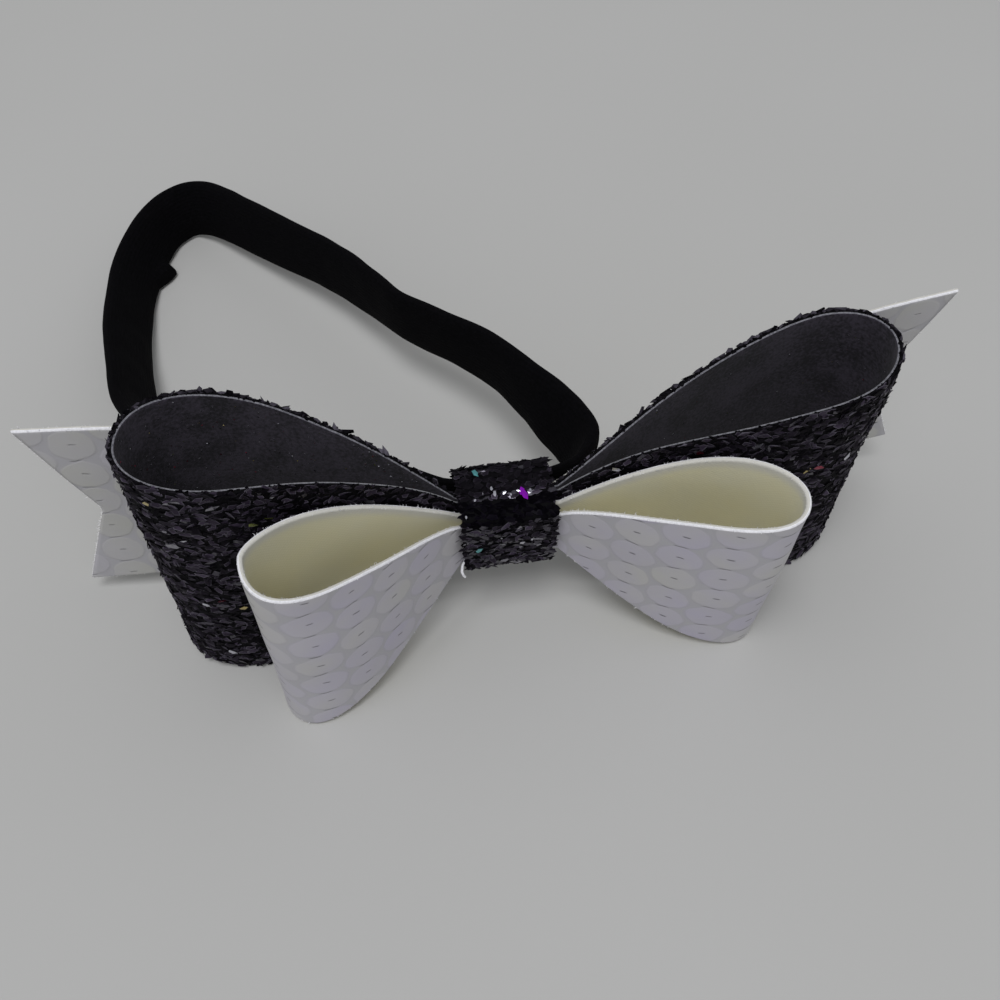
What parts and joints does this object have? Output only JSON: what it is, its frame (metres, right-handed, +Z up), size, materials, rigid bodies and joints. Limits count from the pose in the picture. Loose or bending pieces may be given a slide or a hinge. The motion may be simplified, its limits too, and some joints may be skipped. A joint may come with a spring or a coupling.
{
  "type": "bow headband",
  "caption": "Hair bow of folded leather-cloth loops with swallow-tail ends, bound by a wrap to a soft elastic loop that goes round the head.",
  "frame": {"origin": "middle of the bottom of the whole object's box, on the surface it rests on", "axes": "+Z up, -Y the way the bow faces, +X to the right as seen from the front"},
  "size_m": [0.1302, 0.1298, 0.0508],
  "materials": {
    "black_glitter_leather": "coarse black glitter outside, dark felt inside",
    "pearl_leather": "pearly, printed with discs outside, cream cloth inside",
    "pearl_tail_leather": "pearly, printed with discs",
    "black_wrap_leather": "coarse black glitter",
    "black_elastic": "matt black nylon"
  },
  "bodies": {
    "root": {"black_loops": "black_glitter_leather", "white_loops": "pearl_leather", "tails": "pearl_tail_leather", "centre_wrap": "black_wrap_leather", "headband": "black_elastic"}
  },
  "joints": []
}
